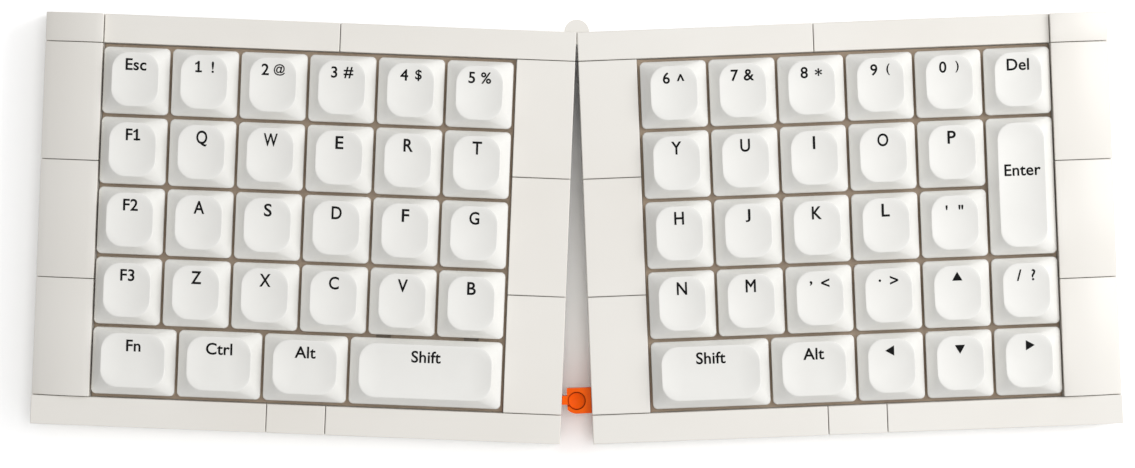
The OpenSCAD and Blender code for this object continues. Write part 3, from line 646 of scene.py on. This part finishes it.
def line(text, height):
    """A word whose capitals have a height, with its middle at y = 0. A last one gets a flag and a foot."""
    bm = word(text)
    size = height / CAPITAL_SHARE
    bmesh.ops.scale(bm, vec=(size, size, 0), verts=bm.verts)
    bmesh.ops.translate(bm, vec=(0, -height / 2, 0), verts=bm.verts)
    if text.endswith("1"):
        right = ink_box(bm)[1].x
        middle = right - STROKE / 2
        top = height / 2
        bar(bm, (right - STROKE - FLAG_WIDTH, top - STROKE), (right, top), FLAG_DROP)
        bar(bm, (middle - FOOT_WIDTH / 2, -top), (middle + FOOT_WIDTH / 2, STROKE - top), 0)
    return bm


def letter(text):
    """A single letter as tall as a capital, apart from a tail, and drawn in where it is wide."""
    bm = line(text, LETTER_HEIGHT)
    low, high = ink_box(bm)
    width = high.x - low.x
    narrow = (LETTER_WIDTH + (width - LETTER_WIDTH) * WIDE_SHARE) / width if width > LETTER_WIDTH else 1
    drop = 0 if text in TAILED else (low.y + high.y) / 2
    fit = 1 if text in TAILED else LETTER_HEIGHT / (high.y - low.y)
    bmesh.ops.translate(bm, vec=(-(low.x + high.x) / 2, -drop, 0), verts=bm.verts)
    bmesh.ops.scale(bm, vec=(narrow, fit, 1), verts=bm.verts)
    return bm


def pair(signs):
    """Two signs side by side, each centred on the line and no taller than a capital."""
    bm = bmesh.new()
    for place, text in enumerate(signs):
        sign = line(text, WORD_HEIGHT)
        low, high = ink_box(sign)
        fit = min(1, WORD_HEIGHT / (high.y - low.y))
        bmesh.ops.translate(sign, vec=-(low + high) / 2, verts=sign.verts)
        bmesh.ops.scale(sign, vec=(fit, fit, 1), verts=sign.verts)
        join_at(bm, sign, Matrix.Translation((place * SIGN_STEP, 0, 0)))
    low, high = ink_box(bm)
    bmesh.ops.translate(bm, vec=(-(low.x + high.x) / 2, 0, 0), verts=bm.verts)
    return bm


def legend(text, cap_shape):
    """The ink of a key's legend as a film on the dish of its cap."""
    if text in ARROWS:
        bm = arrow(ARROWS[text])
    elif len(text) == 1:
        bm = letter(text)
    elif " " in text:
        bm = pair(text.split())
    else:
        bm = line(text, WORD_HEIGHT)
    bmesh.ops.translate(bm, vec=(0, LETTER_REAR, 0), verts=bm.verts)
    bmesh.ops.remove_doubles(bm, verts=bm.verts, dist=WELD)
    bmesh.ops.triangulate(bm, faces=bm.faces)
    raised = bmesh.ops.extrude_face_region(bm, geom=bm.faces[:], use_keep_orig=True)["geom"]
    surface = BVHTree.FromBMesh(cap_shape)
    for vert in bm.verts:
        hit = surface.ray_cast((vert.co.x, vert.co.y, CAP_HEIGHT), (0, 0, -1))[0]
        vert.co.z = hit.z - INK_BELOW
    for vert in (g for g in raised if type(g) is bmesh.types.BMVert):
        vert.co.z += INK_BELOW + INK_ABOVE
    bmesh.ops.recalc_face_normals(bm, faces=bm.faces)
    return bm


def like_keys(node, *texts, columns=1, rows=1):
    """Keys of one node and size, side by side."""
    return [(text, node, columns, rows) for text in texts]


def letter_keys(letters):
    """A run of letter keys, each with a node of its own."""
    return [(text, "key_" + text.lower(), 1, 1) for text in letters]


ROWS = {
    "left": [
        like_keys("key_esc", "Esc") + like_keys("left_number_keys", "1 !", "2 @", "3 #", "4 $", "5 %"),
        like_keys("function_keys", "F1") + letter_keys("QWERT"),
        like_keys("function_keys", "F2") + letter_keys("ASDFG"),
        like_keys("function_keys", "F3") + letter_keys("ZXCVB"),
        like_keys("modifier_keys", "Fn", "Ctrl", "Alt", columns=1.25)
        + like_keys("key_left_shift", "Shift", columns=2.25)],
    "right": [
        like_keys("right_number_keys", "6 ^", "7 &", "8 *", "9 (", "0 )") + like_keys("key_del", "Del"),
        letter_keys("YUIOP") + like_keys("key_enter", "Enter", rows=2),
        letter_keys("HJKL") + like_keys("punctuation_keys", "' \""),
        letter_keys("NM") + like_keys("punctuation_keys", ", <", ". >")
        + like_keys("arrow_keys", "up") + like_keys("punctuation_keys", "/ ?"),
        like_keys("key_right_shift", "Shift", columns=1.75) + like_keys("key_right_alt", "Alt", columns=1.25)
        + like_keys("arrow_keys", "left", "down", "right")]}
for half, rows_of_half in ROWS.items():
    keys = {}
    for row, row_keys in enumerate(rows_of_half):
        columns_before = 0
        for text, node, columns, rows in row_keys:
            middle = (BLOCK_LEFT[half] + (columns_before + columns / 2) * KEY_PITCH_X,
                      BLOCK_REAR - (row + rows / 2) * KEY_PITCH_Y, 0)
            place = HALF_PLACE[half] @ Matrix.Translation(middle)
            keys.setdefault(node, []).append((text, columns, rows, place))
            columns_before += columns
    spring_low, spring_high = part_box(half + "_switch_springs")
    for node, group in keys.items():
        caps = bmesh.new()
        words = bmesh.new()
        coils = bmesh.new()
        for text, columns, rows, place in group:
            on_foot = place @ Matrix.Translation((0, 0, CAP_FOOT))
            cap_shape = cap(columns, rows)
            join_at(words, legend(text, cap_shape), on_foot)
            join_at(caps, cap_shape, on_foot)
            join_at(caps, stem(columns, rows), place)
            join_at(coils, coil(spring_low.z, spring_high.z), place)
        piece = as_piece(caps, node + "_cap", cap_plastic)
        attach(piece, node)
        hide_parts(node)
        ink = as_piece(words, node + "_legend", legend_ink)
        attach(ink, node)
        spring = as_piece(coils, node + "_spring", spring_steel)
        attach(spring, half + "_half")
        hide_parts(half + "_switch_springs")
        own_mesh(spring)

# Desk
# A plain matt desk top reaches far beyond the view, fills the background and takes the soft shadow. It
# shows as pure white, and gives back less light than that to the keyboard.
DESK_REACH = 6
DESK_WHITE = 1.4
DESK_BOUNCE = 0.9
DESK_ROUGHNESS = 0.9


def shown_rays(nodes, links):
    """A value of 1 for the rays that show the background, to the camera or in a gloss, and 0 for others."""
    path = nodes.new("ShaderNodeLightPath")
    shown = path.outputs["Is Camera Ray"]
    for kind in ("Is Glossy Ray", "Is Transmission Ray"):
        either = nodes.new("ShaderNodeMath")
        either.operation = "MAXIMUM"
        links.new(shown, either.inputs[0])
        links.new(path.outputs[kind], either.inputs[1])
        shown = either.outputs["Value"]
    return shown


desk_white = bpy.data.materials.new("desk_white")
desk_white.use_nodes = True
nodes = desk_white.node_tree.nodes
links = desk_white.node_tree.links
shader = nodes["Principled BSDF"]
shader.inputs["Roughness"].default_value = DESK_ROUGHNESS
shader.inputs["Specular IOR Level"].default_value = 0
tone = nodes.new("ShaderNodeMapRange")
tone.inputs["To Min"].default_value = DESK_BOUNCE
tone.inputs["To Max"].default_value = DESK_WHITE
links.new(shown_rays(nodes, links), tone.inputs["Value"])
links.new(tone.outputs["Result"], shader.inputs["Base Color"])
bm = bmesh.new()
bmesh.ops.create_grid(bm, x_segments=1, y_segments=1, size=DESK_REACH)
desk = as_piece(bm, "desk", desk_white)

# Light
# A low window to the right and a little behind lights the right flanks of the caps, and a ceiling lamp
# reaches down into the gaps. The white room is brighter on its right side, and its backdrop is as white
# as the far desk.
WINDOW_PLACE = Vector((0.6, 0.2, 0.54))
WINDOW_SIZE = 0.45
WINDOW_POWER = 2.3
CEILING_PLACE = Vector((0.3, 0.05, 2))
CEILING_SIZE = 0.6
CEILING_POWER = 3.8
ROOM_LEFT = 0.33
ROOM_RIGHT = 1.0
BACKDROP = DESK_WHITE * (ROOM_LEFT + ROOM_RIGHT) / 2


def lamp(name, place, size, power):
    """A round soft lamp that faces the keyboard."""
    light = bpy.data.lights.new(name, "AREA")
    light.shape = "DISK"
    light.size = size
    light.energy = power
    holder = bpy.data.objects.new(name, light)
    holder.location = place
    holder.rotation_euler = (-place).to_track_quat("-Z", "Y").to_euler()
    scene.collection.objects.link(holder)


lamp("window", WINDOW_PLACE, WINDOW_SIZE, WINDOW_POWER)
lamp("ceiling", CEILING_PLACE, CEILING_SIZE, CEILING_POWER)
room = bpy.data.worlds.new("room")
room.use_nodes = True
nodes = room.node_tree.nodes
links = room.node_tree.links
background = nodes["Background"]
background.inputs["Color"].default_value = (1, 1, 1, 1)
where = nodes.new("ShaderNodeTexCoord")
axes = nodes.new("ShaderNodeSeparateXYZ")
links.new(where.outputs["Generated"], axes.inputs["Vector"])
across = nodes.new("ShaderNodeMapRange")
across.inputs["From Min"].default_value = -1
across.inputs["To Min"].default_value = ROOM_LEFT
across.inputs["To Max"].default_value = ROOM_RIGHT
links.new(axes.outputs["X"], across.inputs["Value"])
level = nodes.new("ShaderNodeMapRange")
level.inputs["To Max"].default_value = BACKDROP
links.new(shown_rays(nodes, links), level.inputs["Value"])
links.new(across.outputs["Result"], level.inputs["To Min"])
links.new(level.outputs["Result"], background.inputs["Strength"])
scene.world = room

# Camera
# A long lens looks straight down on the keyboard, framed as the photograph is. The width of the view is
# measured at the top of the flat tiles.
CAMERA_HEIGHT = 1.25
SENSOR_WIDTH = 36
VIEW_WIDTH = 307.6 * MM
VIEW_CENTRE = Vector((-2.5 * MM, -1.68 * MM))
TILE_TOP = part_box("left_hinge_tile")[1].z
lens = bpy.data.cameras.new("lens")
lens.sensor_width = SENSOR_WIDTH
lens.lens = SENSOR_WIDTH * (CAMERA_HEIGHT - TILE_TOP) / VIEW_WIDTH
camera = bpy.data.objects.new("camera", lens)
camera.location = (VIEW_CENTRE.x, VIEW_CENTRE.y, CAMERA_HEIGHT)
scene.collection.objects.link(camera)
scene.camera = camera
